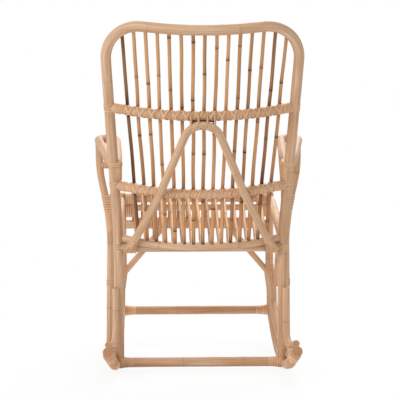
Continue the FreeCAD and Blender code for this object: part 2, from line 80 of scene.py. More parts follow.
# Runners, stretchers and lower braces
ROCKER, ROCKER_Y, ROCKER_LOW = 1050.0, 60.0, 27.0
RUNNER_X, RUNNER_SHIFT, TAIL_SHIFT, RUNNER_BEND = 243.0, 5.0, 15.0, 58.0
INNER_TAIL, OUTER_TAIL, INNER_TOP = 425.0, 455.0, 207.0
SWAY_LOW, SWAY_HIGH, SWAY_RADIUS, INNER_SWAY_LOW, INNER_TOP_X = 148.0, 222.0, 150.0, 144.0, 234.0
LEG_BRACE_X, LEG_BRACE_TOP, LEG_BRACE_TAIL, LEG_BRACE_BEND = 241.0, 275.0, 430.0, 70.0
FRONT_STRETCHER_Z, FRONT_STRETCHER_BACK, STRETCHER_LIFT = 78.0, 8.0, 6.0
CORNER_X, CORNER_Z = 98.0, 203.0
SIDE_BRACE_TOP_X, SIDE_BRACE_FOOT_X, SIDE_BRACE_Y, SIDE_BRACE_Z = 255.0, 258.0, -60.0, 165.0

# Where the drawn ends of canes stop inside the poles that they meet
SHORT, CREST_SUNK, FOOT_SUNK, RUNG_SHORT, ARM_DRAWN_IN = 4.0, 3.0, 8.0, 2.0, 5.0
REAR_SHORT, FRONT_SHORT = 10.0, 8.0

BACK_UP = np.array([0, math.sin(RECLINE), math.cos(RECLINE)])
BACK_OUT = np.array([0, math.cos(RECLINE), -math.sin(RECLINE)])
STAND_OFF = -(RAIL / 2 + SPINDLE / 2 + GAP + SPINDLE_ROOM)
RISE = RUNNER + GAP
OUTER_X = RUNNER_X + RUNNER_SHIFT
SPLAY = (TAIL_SHIFT - RUNNER_SHIFT) / (OUTER_TAIL - FRONT_LEG_Y)
INNER_LEG_Y = FRONT_LEG_Y - RISE
ROCKER_Z = ROCKER_LOW + ROCKER
WOUND_ROOM = 2 * GAP + SOLID_PEEL
OVER_RAIL = RAIL / 2 + SPINDLE / 2 + GAP
FROM_MIDDLE = np.arange(SPINDLES) - (SPINDLES - 1) / 2
DROP_Y = FRONT_RAIL_Y - OVER_RAIL


def vec(x, y, z):
    return np.array([x, y, z], float)


def unit(v):
    return v / np.linalg.norm(v)


def units(rows):
    return rows / np.linalg.norm(rows, axis=1)[:, None]


def flip(path):
    """The same line on the other side of the chair."""
    return np.array(path) * [-1, 1, 1]


def middle_of(node):
    low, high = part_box(node)
    return (np.array(low) + np.array(high)) * (0.5 / METRES)


# Where the solids stand: two straight rails tell how far the chair is rolled back
rear_there, front_there = middle_of("rear_seat_rail"), middle_of("front_lower_rail")
rear_here, front_here = vec(0, LEG_Y, REAR_RAIL_Z), vec(0, DROP_Y, LOWER_FRONT_Z)
run_there, run_here = rear_there - front_there, rear_here - front_here
roll = math.atan2(run_there[2], run_there[1]) - math.atan2(run_here[2], run_here[1])
ROLLED = np.array(Matrix.Rotation(roll, 3, "X"))
SHIFT = rear_there - ROLLED @ rear_here


def placed(points):
    return (np.asarray(points) @ ROLLED.T + SHIFT) * METRES


def back_point(x, height, out=0.0):
    return vec(x, LEG_Y, BEND_Z) + BACK_UP * height + BACK_OUT * out


def post_x(height):
    return LEG_X + BACK_FAN * height


def bow_radius(half_span, bow):
    return (half_span ** 2 + bow ** 2) / (2 * bow)


def rail_radius(height):
    return bow_radius(post_x(height), RAIL_BOW)


def bow_depth(x, half_span, bow, offset=0.0):
    radius = bow_radius(half_span, bow)
    return bow - radius + math.sqrt((radius + offset) ** 2 - x ** 2)


# Lines: the room that a bend takes on its runs, its steps, and how finely a line is searched
BEND_ROOM, BEND_STEP, BEND_LEAST = 0.48, 0.06, 4
CUT_STEPS, RISE_STEPS, RISE_ROWS, FINE_STEPS = 300, 800, 60, 900
ASKEW = vec(0.31, 0.87, 0.38)


def bent(points, radii):
    """Straight runs joined by tangent arcs, as a line of points."""
    path = [points[0]]
    for before, corner, after, radius in zip(points, points[1:], points[2:], radii):
        arrive, leave = unit(corner - before), unit(after - corner)
        turn = math.acos(np.clip(arrive @ leave, -1, 1))
        room = BEND_ROOM * min(np.linalg.norm(corner - before), np.linalg.norm(after - corner))
        setback = min(radius * math.tan(turn / 2), room)
        bend = setback / math.tan(turn / 2)
        start = corner - arrive * setback
        centre = corner + unit(leave - arrive) * (bend / math.cos(turn / 2))
        for angle in np.linspace(0, turn, max(BEND_LEAST, int(turn / BEND_STEP))):
            path.append(centre + (start - centre) * math.cos(angle) + arrive * (bend * math.sin(angle)))
    path.append(points[-1])
    return np.array(path)


def arc_through(place, first, last, count=60):
    return np.array([place(t) for t in np.linspace(first, last, count)])


def crosswise(first, last, y, z):
    """A straight line across the chair, between two places on the X axis."""
    return np.array([vec(first, y, z), vec(last, y, z)])


def strides(path):
    return np.linalg.norm(np.diff(path, axis=0), axis=1)


def lengths(path):
    return np.concatenate([[0], np.cumsum(strides(path))])


def traced(path, known, wanted):
    """Points of a line, by a measure that is known at each of its own points."""
    return np.stack([np.interp(wanted, known, path[:, axis]) for axis in range(3)], 1)


def at(path, stations):
    """Points of a line at the given lengths along it."""
    return traced(path, lengths(path), stations)


def stretch(path, first, last, count):
    """Points evenly along a line, from one length to another."""
    return at(path, np.linspace(first, last, count))


def evenly(path, count):
    return stretch(path, 0, lengths(path)[-1], count)


def smooth(path, count):
    """A smooth line through the points, by Catmull-Rom."""
    p = np.vstack([2 * path[0] - path[1], path, 2 * path[-1] - path[-2]])
    t = np.linspace(0, 1, count, endpoint=False)[:, None]
    out = []
    for i in range(len(path) - 1):
        a, b, c, d = p[i:i + 4]
        square, cube = 2 * a - 5 * b + 4 * c - d, 3 * b - a - 3 * c + d
        out.append(0.5 * (2 * b + (c - a) * t + square * t ** 2 + cube * t ** 3))
    return np.vstack(out + [path[-1:]])


def short_of(path, other, reach):
    """A line cut off where it first comes within reach of another."""
    fine = evenly(path, CUT_STEPS)
    near = evenly(other, FINE_STEPS)
    apart = np.array([np.linalg.norm(near - point, axis=1).min() for point in fine])
    inside = np.nonzero(apart < reach)[0]
    return fine[:inside[0] + 1] if len(inside) else path


def between(path, low, high):
    """The stretch of a rising line between two heights."""
    fine = evenly(path, RISE_STEPS)
    return traced(fine, fine[:, 2], np.linspace(low, high, RISE_ROWS))


def directions(path):
    return units(np.gradient(path, axis=0))


def carried(tangents):
    """Two directions across a line that turn with it as little as they can."""
    guess = ASKEW
    first = []
    for tangent in tangents:
        guess = unit(guess - tangent * (guess @ tangent))
        first.append(guess)
    first = np.array(first)
    return first, np.cross(tangents, first)


def spokes(path, sides):
    """The angles of a ring's points, and the directions to them from each point of a line."""
    angles = np.linspace(0, 2 * math.pi, sides, endpoint=False)
    first, second = carried(directions(path))
    cosines, sines = np.cos(angles)[:, None], np.sin(angles)[:, None]
    return angles, first[:, None] * cosines + second[:, None] * sines


def vectors(shape, *values):
    """A vector at each point of a tube, from three values spread over its rings."""
    return np.stack([np.broadcast_to(value, shape) for value in values], -1)


LOOKS = {}
LID_RING, SHARP = 0.55, math.radians(50)


class Skin:
    """Collects the surface of one piece, with what its material needs at each point."""

    def __init__(self):
        self.points, self.faces, self.grain, self.marks = [], [], [], []

    def put(self, points, grain, *marks):
        """Adds points, with the grain, the dark of joints and painted crease shade, the tone and cut there;
        gives the first one's number.
        """
        first = sum(len(earlier) for earlier in self.points)
        self.points.append(points.reshape(-1, 3))
        self.grain.append(grain.reshape(-1, 3))
        self.marks.append(np.stack([np.broadcast_to(mark, points.shape[:-1]).ravel() for mark in marks]))
        return first

    def tube(self, rings, grain, knot_and_crease_shade, tone, cut=0.0):
        """Rows of points round a line, joined and closed by flat ends; cut is how bare the ends are."""
        rows, sides = rings.shape[:2]
        tone = np.broadcast_to(tone, (rows, sides))
        row = self.put(rings, grain, knot_and_crease_shade, tone, 0.0) + np.arange(rows - 1)[:, None] * sides
        side = np.arange(sides)
        after = (side + 1) % sides
        quads = np.stack([row + side, row + after, row + sides + after, row + sides + side], -1)
        self.faces += quads.reshape(-1, 4).tolist()
        self.lid(rings[0], grain[0], tone[0, 0], cut, False)
        self.lid(rings[-1], grain[-1], tone[-1, 0], cut, True)

    def lid(self, ring, grain, tone, cut, ahead):
        """A flat end on a tube."""
        sides = len(ring)
        centre = ring.mean(axis=0)
        inner = centre + (ring - centre) * LID_RING
        flat = grain * [LID_RING, LID_RING, 1]
        middle = flat[:1] * [0, 0, 1]
        base = self.put(np.vstack([ring, inner, centre]), np.vstack([grain, flat, middle]), 0.0, tone, cut)
        for j in range(sides):
            k = (j + 1) % sides
            quad = [base + j, base + k, base + sides + k, base + sides + j]
            fan = [base + sides + j, base + sides + k, base + 2 * sides]
            self.faces += [quad, fan] if ahead else [quad[::-1], fan[::-1]]

    def piece(self, name, slot, *nodes):
        mesh = bpy.data.meshes.new(name)
        mesh.from_pydata(placed(np.vstack(self.points)), [], self.faces)
        grain = mesh.attributes.new("grain", "FLOAT_VECTOR", "POINT")
        grain.data.foreach_set("vector", np.vstack(self.grain).astype(np.float32).ravel())
        for label, marks in zip(("knot_and_crease_shade", "tone", "cut"), np.concatenate(self.marks, 1).astype(np.float32)):
            mesh.attributes.new(label, "FLOAT", "POINT").data.foreach_set("value", marks)
        mesh.polygons.foreach_set("use_smooth", np.ones(len(mesh.polygons), bool))
        mesh.set_sharp_from_angle(angle=SHARP)
        mesh.materials.append(LOOKS[slot])
        made = bpy.data.objects.new(name, mesh)
        bpy.context.scene.collection.objects.link(made)
        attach(made, "root")
        if nodes:
            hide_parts(*nodes)


# Joints of the cane: the rings drawn round each, where they fall and how strong they are
KNOT_HALF = np.array([0.4, 0.9, 1.6, 2.6, 4, 6, 9, 14])
KNOT_RINGS = np.concatenate([-KNOT_HALF[::-1], [0], KNOT_HALF])
KNOT_FIRST, KNOT_APART, KNOT_FORCE, KNOT_ROOM = (0.2, 0.9), (0.7, 1.3), (0.55, 1.15), 12.0
# A joint swells, with a scar, a dark ring and a stain that fades on one side
SWELL, SWELL_REACH, SCAR, SCAR_REACH = 0.08, 5.0, 0.045, 0.7
RING_REACH, BLOOM, BLOOM_REACH = 2.2, 0.5, 9.0
# Ends are bevelled, thickness comes in waves, the section is out of round and the run crooked
BEVEL, BEVEL_MIDDLE, RIM_CUT = 0.06, 0.4, 0.08
WAVES, UNEVEN, OUT_OF_ROUND, POLE_ROWS = (47.0, 19.0), 0.012, 0.012, 6
CROOK_BENDS, CROOK_HEIGHT, CROOK_EASE, CROOK_MEAN, KINK = (2.2, 4.1, 6.3), (0.3, 1.0), 0.6, 1.6, 0.8
# Chance decides a wave's phase, how a cane is turned and where in the grain's noise it begins
PHASE, TURN, START = (0, 6), (0, 6.28), (0, 60)


def knots_along(length, spacing, strength):
    """Where the joints of the cane sit: uneven, and some stronger than others."""
    found = []
    place = spacing * chance.uniform(*KNOT_FIRST)
    while place < length - KNOT_ROOM:
        found.append((place, strength * chance.uniform(*KNOT_FORCE)))
        place += spacing * chance.uniform(*KNOT_APART)
    return found


def pole(skin, path, diameter, spacing=190.0, strength=0.5, tone=0.0, sides=22, step=6.0, taper=(1.0, 1.0),
         sway=0.0, knots=None, rough=UNEVEN, cut=1.0, shaved=None, mottled=0.04):
    """A length of cane along a line: joints, slight swelling, cut ends, which may be shaved to a taper."""
    total = lengths(path)[-1]
    knots = knots_along(total, spacing, strength) if knots is None else knots
    places = [place for place, _ in knots]
    bevel = BEVEL * diameter
    edges = np.array([BEVEL_MIDDLE * bevel, bevel])
    stations = np.linspace(0, total, max(POLE_ROWS, int(total / step)))
    stations = np.concatenate([stations, edges, total - edges] + [place + KNOT_RINGS for place in places])
    stations = np.unique(np.round(stations[(stations >= 0) & (stations <= total)], 2))
    centres = at(path, stations)
    share = np.clip(stations / total, 0, 1)
    if sway:
        ease = np.abs(np.sin(np.pi * share)) ** CROOK_EASE
        for axis in carried(directions(centres)):
            wave = sum(chance.uniform(*CROOK_HEIGHT) * np.sin(share * math.pi * bends + chance.uniform(*TURN))
                       for bends in CROOK_BENDS)
            aside = [0] + [chance.uniform(-1, 1) for _ in knots] + [0]
            kinks = np.interp(stations, [0] + places + [total], aside)
            centres = centres + axis * (sway * (ease * wave / CROOK_MEAN + KINK * kinks))[:, None]
    waves = sum(np.sin(stations / wave + chance.uniform(*PHASE)) for wave in WAVES)
    radius = diameter / 2 * np.interp(share, [0, 1], taper) * (1 + rough * waves / 2)
    dark = np.zeros(len(stations))
    for place, force in knots:
        away = stations - place
        swell = SWELL * force * np.exp(-(away / SWELL_REACH) ** 2)
        scar = SCAR * force * np.exp(-(away / SCAR_REACH) ** 2)
        radius = radius * (1 + swell - scar)
        ring = force * np.exp(-(away / RING_REACH) ** 2)
        bloom = BLOOM * force * np.exp(-np.abs(away) / BLOOM_REACH) * (away > 0)
        dark = np.maximum(dark, np.maximum(ring, bloom))
    from_end = np.minimum(stations, total - stations)
    radius = radius * (1 - RIM_CUT * (1 - np.minimum(from_end / bevel, 1.0)) ** 2)
    if shaved:
        reach, left = shaved
        radius = radius * np.interp(from_end, [0, reach], [left, 1.0])
    angles, around = spokes(centres, sides)
    section = 1 + OUT_OF_ROUND * np.cos(2 * angles + chance.uniform(*PHASE))
    rings = centres[:, None] + around * (radius[:, None] * section)[:, :, None]
    start = chance.uniform(*START)
    spun = angles + chance.uniform(*TURN)
    grain = vectors(rings.shape[:2], np.cos(spun), np.sin(spun), (stations * METRES + start)[:, None])
    patches = np.array([chance.uniform(-mottled, mottled) for _ in range(len(knots) + 1)])
    shade = np.interp(share, np.linspace(0, 1, np.size(tone)), np.atleast_1d(tone))
    shade = np.clip(shade + patches[np.searchsorted(places, stations)], 0, 1)
    skin.tube(rings, grain, dark[:, None], shade[:, None], cut)


# Peel: rows drawn across a wound strip, its crown, the height of its edges and the slope at its ends;
# each turn takes its own part of the grain
STRIP_ROWS, WRAP_ROWS, CROWN, EDGE_HEIGHT, WRAP_END = 10, 8, 4, 0.35, 1.2
GRAIN_ACROSS, GRAIN_ROUND, GRAIN_SHIFT = 2.0, 0.02, (0.37, 0.61, 0.123)
# A single strip's section, as shares of its width and thickness, and the painted shade that darkens its edges
STRIP_SECTION = np.array([[0.5, -0.3], [0.5, 0.45], [0.38, 0.9], [0.0, 1.05],
                          [-0.38, 0.9], [-0.5, 0.45], [-0.5, -0.3]])
STRIP_EDGE_SHADE = np.array([0.8, 0.6, 0.1, 0.0, 0.1, 0.6, 0.8])


def wrap(skin, line_a, radius_a, line_b=None, radius_b=0.0, pitch=6.4, thick=PEEL, sides=30, flare=0.0,
         tone=0.0, groove_shade=0.8):
    """Flat peel wound side by side round one pole, or round two that lie together, darkened with painted
    shade in the seams between turns.
    """
    total = lengths(line_a)[-1]
    stations = np.linspace(0, total, max(WRAP_ROWS, int(total / pitch * STRIP_ROWS)))
    share = stations / total
    one = at(line_a, stations)
    angles, around = spokes(one, sides)
    centre = np.broadcast_to(one[:, None], around.shape)
    size = np.broadcast_to(radius_a + flare * (share ** 2)[:, None], around.shape[:2])
    if line_b is not None:
        two = at(line_b, share * lengths(line_b)[-1])
        size_b = np.interp(share, [0, 1], np.broadcast_to(radius_b, 2))[:, None]
        nearer = ((two - one)[:, None] * around).sum(-1) + size_b > size
        centre = np.where(nearer[..., None], two[:, None], centre)
        size = np.where(nearer, size_b, size)
    wound = stations[:, None] / pitch + angles / (2 * math.pi)
    lap, turn = np.floor(wound), wound % 1.0
    dome = 1 - np.abs(2 * turn - 1) ** CROWN
    ends = np.clip(np.minimum(stations, total - stations) / WRAP_END, 0, 1)[:, None]
    height = ends * thick * (EDGE_HEIGHT + (1 - EDGE_HEIGHT) * dome)
    rings = centre + around * (size + height)[..., None]
    start = chance.uniform(*START)
    shift = [lap * step for step in GRAIN_SHIFT]
    grain = vectors(rings.shape[:2], turn * GRAIN_ACROSS + shift[0], shift[1],
                    angles * GRAIN_ROUND + shift[2] + start)
    # Darker where neighbouring turns meet: painted shade in the seams between them
    skin.tube(rings, grain, groove_shade * (1 - dome) * ends, tone)


def strip(skin, path, outward, width=5.0, thick=PEEL):
    """One flat strip of peel along a line, its face turned outward."""
    tangents = directions(path)
    outward = units(outward - tangents * (outward * tangents).sum(1)[:, None])
    side = np.cross(outward, tangents)
    across, out = STRIP_SECTION.T
    rings = (path[:, None] + side[:, None] * (across * width)[:, None]
             + outward[:, None] * (out * thick)[:, None])
    start = chance.uniform(*START)
    run = (lengths(path) * METRES + start)[:, None]
    grain = vectors(rings.shape[:2], across * GRAIN_ACROSS, start, run)
    # The strip's edges take painted shade, darkest where they meet what lies under them
    skin.tube(rings, grain, STRIP_EDGE_SHADE, 0.0)


# Materials
class Graph:
    """A short way to write shader nodes."""

    def __init__(self, owner):
        owner.use_nodes = True
        self.tree = owner.node_tree
        self.tree.nodes.clear()

    def add(self, kind, inputs=None, **settings):
        made = self.tree.nodes.new("ShaderNode" + kind)
        for key, value in settings.items():
            setattr(made, key, value)
        for key, value in (inputs or {}).items():
            if isinstance(value, bpy.types.NodeSocket):
                self.tree.links.new(value, made.inputs[key])
            else:
                made.inputs[key].default_value = value
        return made

    def field(self, name, output="Fac"):
        return self.add("Attribute", attribute_name=name).outputs[output]

    def maths(self, operation, *values):
        return self.add("Math", dict(enumerate(values)), operation=operation).outputs[0]

    def stretched(self, vector, scale):
        return self.add("VectorMath", {0: vector, 1: scale}, operation="MULTIPLY").outputs[0]

    def noise(self, vector, scale, detail=2.0, rough=0.55):
        inputs = {"Vector": self.stretched(vector, scale), "Scale": 1.0, "Detail": detail, "Roughness": rough}
        return self.add("TexNoise", inputs).outputs["Fac"]

    def ramp(self, value, low, high, start=0.0, end=1.0):
        return self.add("MapRange", {0: value, 1: low, 2: high, 3: start, 4: end}).outputs[0]

    def mix(self, share, a, b):
        return self.add("Mix", {0: share, 6: a, 7: b}, data_type="RGBA").outputs[2]

    def blotted(self, colour, ink, noise, low, high, share):
        """A colour with ink laid over it where the noise is high."""
        return self.mix(self.maths("MULTIPLY", self.ramp(noise, low, high), share), colour, ink)

    def show(self, output, shader):
        self.tree.links.new(shader, self.add(output).inputs[0])


def rgb(red, green, blue):
    """A colour given as it looks on a screen, 0 to 255."""
    return tuple(((c / 255 + 0.055) / 1.055) ** 2.4 for c in (red, green, blue)) + (1.0,)


# Scales of the cane's noise, twice across the grain and then along it
FIBRES, FINE, STREAKS = (6.0, 6.0, 9.0), (17.0, 17.0, 14.0), (2.3, 2.3, 2.5)
BROAD, SPECKS, PORES = (0.8, 0.8, 6.5), (9.0, 9.0, 160.0), (7.0, 7.0, 0.0)
EVEN_WEAR_AND_SHADE, FINE_RELIEF, RELIEF, DULLER, SHINE = 0.62, 0.6, 0.0009, 0.16, 0.12


def cane(name, light, dark, patch, aged_and_shade_colour, joint_and_shade_colour, end, gloss, fibre):
    """Peeled or unpeeled cane: long fibres, patches, dark joints, painted shade in creases, porous cut ends.
    """
    LOOKS[name] = bpy.data.materials.new(name)
    g = Graph(LOOKS[name])
    grain, tone = g.field("grain", "Vector"), g.field("tone")
    fibres = g.noise(grain, FIBRES, detail=5.0, rough=0.62)
    fine = g.noise(grain, FINE, detail=3.0)
    broad = g.noise(grain, BROAD)
    colour = g.mix(g.ramp(fibres, low=0.32, high=0.68), light, dark)
    colour = g.blotted(colour, patch, fine, low=0.5, high=0.75, share=0.35)
    colour = g.blotted(colour, patch, g.noise(grain, STREAKS), low=0.46, high=0.62, share=0.5)
    colour = g.blotted(colour, patch, broad, low=0.45, high=0.7, share=0.45)
    # Tone darkens toward the aged colour: real ageing and stains, and painted shade above the rails on
    # spindles and in the strip under the brace top
    wear_and_shade = g.maths("MULTIPLY", tone, EVEN_WEAR_AND_SHADE)
    wear_and_shade = g.maths("MULTIPLY_ADD", tone, g.ramp(broad, low=0.25, high=0.85), wear_and_shade)
    colour = g.mix(wear_and_shade, colour, aged_and_shade_colour)
    colour = g.blotted(colour, joint_and_shade_colour, g.noise(grain, SPECKS), low=0.66, high=0.74, share=0.3)
    # Dark joints, plus painted shade in the seams of wound peel and along the edges of strips
    colour = g.mix(g.field("knot_and_crease_shade"), colour, joint_and_shade_colour)
    pores = g.add("TexVoronoi", {"Vector": g.stretched(grain, PORES), "Scale": 1.0}).outputs["Distance"]
    face = g.mix(g.ramp(pores, low=0.12, high=0.42), joint_and_shade_colour, end)
    colour = g.mix(g.field("cut"), colour, face)
    height = g.maths("ADD", fibres, g.maths("MULTIPLY", fine, FINE_RELIEF))
    bump = g.add("Bump", {"Height": height, "Strength": fibre, "Distance": RELIEF}).outputs[0]
    rough = g.ramp(fine, low=0.3, high=0.7, start=gloss, end=gloss + DULLER)
    surface = g.add("BsdfPrincipled", {"Base Color": colour, "Roughness": rough, "Specular IOR Level": SHINE,
                                       "Normal": bump})
    g.show("OutputMaterial", surface.outputs[0])


cane("rattan_pole", light=rgb(236, 206, 177), dark=rgb(202, 161, 125), patch=rgb(187, 144, 107),
     aged_and_shade_colour=rgb(164, 113, 76), joint_and_shade_colour=rgb(112, 70, 42), end=rgb(192, 144, 104), gloss=0.46, fibre=0.25)
cane("rattan_spindle", light=rgb(233, 187, 139), dark=rgb(210, 157, 108), patch=rgb(185, 130, 87),
     aged_and_shade_colour=rgb(96, 56, 34), joint_and_shade_colour=rgb(70, 38, 22), end=rgb(150, 104, 68), gloss=0.44, fibre=0.15)
cane("rattan_peel", light=rgb(241, 205, 169), dark=rgb(222, 179, 140), patch=rgb(204, 156, 116),
     aged_and_shade_colour=rgb(164, 110, 74), joint_and_shade_colour=rgb(106, 66, 38), end=rgb(182, 134, 94), gloss=0.44, fibre=0.2)


def single(name, node, path, diameter, slot="rattan_pole", **kw):
    skin = Skin()
    pole(skin, path, diameter, **kw)
    skin.piece(name, slot, node)


def both(name, node, path, diameter, **kw):
    single(name + "_left", node + "_left", path, diameter, **kw)
    single(name + "_right", node + "_right", flip(path), diameter, **kw)


# Back frame
top_corner = back_point(post_x(BACK_LENGTH), BACK_LENGTH)
half_frame = [vec(LEG_X, LEG_Y, LEG_FOOT_Z), vec(LEG_X, LEG_Y, BEND_Z), top_corner]
other_half = [flip(p) for p in reversed(half_frame)]
frame_path = bent(half_frame + [back_point(0, BACK_LENGTH, CREST_BOW)] + other_half,
                  [BEND_RADIUS, CORNER_RADIUS, CREST_RADIUS, CORNER_RADIUS, BEND_RADIUS])
single("back_pole", "back_frame", frame_path, POST, sides=28, spacing=330, strength=0.16, tone=0.1)

# Back rails: a core wound with peel, more of it at the ends, and two lashing strips
RAIL_CORE, RAIL_WOUND, END_WOUND = RAIL - 5.0, RAIL / 2 - 2.2, RAIL / 2 - 1.0
END_WRAP, END_INSET, RAIL_ROWS, END_ROWS = 24.0, POST / 2 + 1.0, 120, 12
LASH_RADIUS, LASH_WIDTH, LASH_THICK = RAIL / 2 - 0.6, 6.4, 1.0
LASH_SLIP, LASH_STEPS, LASH_SMOOTH = (1.5, 6.5), 9, 4
OVER_SPINDLE = SPINDLE / 2 - STAND_OFF + 1.4
# A strip's way over a spindle: along the rail, rise, and depth towards the sitter
FRONT_PASS = [(-7.8, 11.4, 4.0), (-7.2, 8.6, 0.5 * OVER_SPINDLE), (-5.8, 5.6, 0.8 * OVER_SPINDLE),
              (-2.9, 2.6, 0.96 * OVER_SPINDLE), (0.0, 0.0, OVER_SPINDLE)]
FRONT_PASS += [(-along, -rise, depth) for along, rise, depth in reversed(FRONT_PASS[:-1])]


def rail_at(height, lean, depth=0.0, rise=0.0):
    """A point by its angle along a bowed back rail, its depth towards the sitter and its rise."""
    radius = rail_radius(height)
    reach = radius - depth
    across = X_AXIS * (reach * math.sin(lean)) + BACK_OUT * (reach * math.cos(lean))
    return back_point(0, height, RAIL_BOW - radius) + across + BACK_UP * rise


def lash(skin, height, spacing, hand):
    """A strip that crosses behind the rail between two spindles and over each spindle in front."""
    radius = rail_radius(height)
    lean = [math.asin((step * spacing - SET_OVER) / (radius + STAND_OFF)) for step in FROM_MIDDLE]
    points, faces = [], []

    def put(angle, depth, rise):
        points.append(rail_at(height, angle, depth, rise * hand))
        faces.append(unit(points[-1] - rail_at(height, angle)))

    for k, angle in enumerate(lean):
        for along, rise, depth in FRONT_PASS:
            put(angle + along / radius, depth, rise)
        if k + 1 < len(lean):
            first = angle + chance.uniform(*LASH_SLIP) / radius
            last = lean[k + 1] - chance.uniform(*LASH_SLIP) / radius
            for share in np.linspace(0, 1, LASH_STEPS):
                turn = math.pi * share
                here = first + (last - first) * share
                put(here, -LASH_RADIUS * math.sin(turn), -LASH_RADIUS * math.cos(turn))
    path, outward = smooth(np.array(points), LASH_SMOOTH), smooth(np.array(faces), LASH_SMOOTH)
    strip(skin, path, outward, width=LASH_WIDTH, thick=LASH_THICK)


for label, height, spacing, tone in (("upper", UPPER, UPPER_STEP, 0.32), ("lower", LOWER, LOWER_STEP, 0.08)):
    end = math.asin(post_x(height) / rail_radius(height))
    line = arc_through(lambda t: rail_at(height, t), end, -end)
    single(label + "_rail_pole", label + "_back_rail", line, RAIL_CORE, spacing=160)
    skin = Skin()
    last = lengths(line)[-1] - END_INSET
    wrap(skin, stretch(line, END_INSET, last, RAIL_ROWS), RAIL_WOUND, pitch=8.6, groove_shade=0.15, tone=tone)
    for first in (END_INSET, last - END_WRAP):
        wrap(skin, stretch(line, first, first + END_WRAP, END_ROWS), END_WOUND, pitch=4.8)
    for hand in (1, -1):
        lash(skin, height, spacing, hand)
    skin.piece(label + "_rail_lashing", "rattan_peel", label + "_rail_winding")

# Rear seat rails
rails_apart = RAIL / 2 + SPINDLE_RAIL / 2 + GAP
rail_lift = (rails_apart + (LEG_Y - SPINDLE_RAIL_Y) * math.sin(RECLINE)) / math.cos(RECLINE)


def spindle_rail_at(x):
    middle = vec(x, SPINDLE_RAIL_Y, REAR_RAIL_Z + rail_lift)
    return middle + BACK_OUT * bow_depth(x, LEG_X, SPINDLE_RAIL_BOW)


rear_path = crosswise(LEG_X, -LEG_X, LEG_Y, REAR_RAIL_Z)
bow_path = arc_through(spindle_rail_at, LEG_X, -LEG_X)
single("rear_rail_pole", "rear_seat_rail", rear_path, RAIL, spacing=210, strength=0.2)
single("rear_bow_pole", "rear_spindle_rail", bow_path, SPINDLE_RAIL, strength=0.25)

# Back spindles: some are dark, counted from the sitter's right, and all are darker at the foot and above the
# rails, partly stain and partly painted shade from the rails
DARK_SPINDLES = {15: 0.76, 14: 0.22, 13: 0.08, 9: 0.16, 8: 0.24, 5: 0.28, 4: 0.28, 3: 0.12, 2: 0.42, 1: 0.1}
RAIL_STAIN_AND_SHADE, RAIL_STAIN_AND_SHADE_REACH, FOOT_STAIN_AND_SHADE, FOOT_STAIN_AND_SHADE_REACH, STAIN_AND_SHADE_STEPS = 0.34, 34.0, 0.8, 12.0, 90
FOOT_TAPER, TOP_TAPER = (0.98, 1.05), (0.92, 1.0)
crest_lean = math.atan2(CREST_BOW, top_corner[0])


def rail_pass(x, height):
    return back_point(x, height, bow_depth(x, post_x(height), RAIL_BOW, STAND_OFF))


def crest_depth(x):
    if abs(x) > CREST_RADIUS * math.sin(crest_lean):
        return CREST_BOW * (1 - abs(x) / top_corner[0])
    return CREST_BOW - CREST_RADIUS / math.cos(crest_lean) + math.sqrt(CREST_RADIUS ** 2 - x ** 2)


def stained_and_shaded(path, tone):
    """The tone along a back spindle, darker for a short way above its foot and the rails: partly stain,
    partly painted shade where the rails shade it.
    """
    height = (evenly(path, STAIN_AND_SHADE_STEPS) - back_point(0, 0)) @ BACK_UP
    # Painted shade with some stain: dark just above the foot, fading up the spindle
    bare = height[0] + SPINDLE_RAIL / 2
    stain_and_shade = [FOOT_STAIN_AND_SHADE * np.exp(-np.maximum(height - bare, 0) / FOOT_STAIN_AND_SHADE_REACH)]
    # Painted shade with some stain just above each rail, fading upwards
    for rail in (LOWER, UPPER):
        stain_and_shade.append(RAIL_STAIN_AND_SHADE * np.exp(-np.maximum(height - rail, 0) / RAIL_STAIN_AND_SHADE_REACH) * (height > rail - RAIL))
    return np.clip(tone + np.maximum.reduce(stain_and_shade), 0, 1)


for number, step in enumerate(FROM_MIDDLE, 1):
    crest_x = step * CREST_STEP - SET_OVER
    points = [spindle_rail_at(step * FOOT_STEP - SET_OVER), rail_pass(step * LOWER_STEP - SET_OVER, LOWER),
              rail_pass(step * UPPER_STEP - SET_OVER, UPPER),
              back_point(crest_x, BACK_LENGTH, crest_depth(crest_x))]
    path = short_of(bent(points, [SPINDLE_BEND, SPINDLE_BEND]), frame_path, POST / 2 - CREST_SUNK)
    label = "%02d" % number
    single("cane_" + label, "back_spindle_" + label, path, SPINDLE, "rattan_spindle", sides=16, step=5.0,
           spacing=205, strength=1.05, tone=stained_and_shaded(path, DARK_SPINDLES.get(number, 0.0)), sway=1.1,
           mottled=0.12, taper=(chance.uniform(*FOOT_TAPER), chance.uniform(*TOP_TAPER)))

# Back brace: its round top touches the upper rail, and its legs cross the lower one
brace_off = RAIL / 2 + WOUND_ROOM + BRACE / 2
cross_depth = bow_depth(BRACE_CROSS_X, post_x(LOWER), RAIL_BOW, brace_off + BRACE_ROOM)
brace_cross = back_point(BRACE_CROSS_X, LOWER, cross_depth)
under_rail = vec(0, math.cos(BRACE_SEAT), -math.sin(BRACE_SEAT))
apex = back_point(0, UPPER, RAIL_BOW) + under_rail * brace_off
cross_middle = brace_cross * [0, 1, 1]
arc_height = np.linalg.norm(apex - cross_middle) - BRACE_TOP
tangent = math.sqrt(BRACE_CROSS_X ** 2 + arc_height ** 2 - BRACE_TOP ** 2)
brace_height = (BRACE_CROSS_X * (BRACE_CROSS_X * arc_height + BRACE_TOP * tangent)
                / (BRACE_CROSS_X ** 2 - BRACE_TOP ** 2))
brace_vertex = cross_middle + unit(apex - cross_middle) * brace_height
brace_foot = vec(BRACE_FOOT_X, LEG_Y + RAIL / 2 + BRACE / 2 - BRACE_LET_IN, REAR_RAIL_Z)
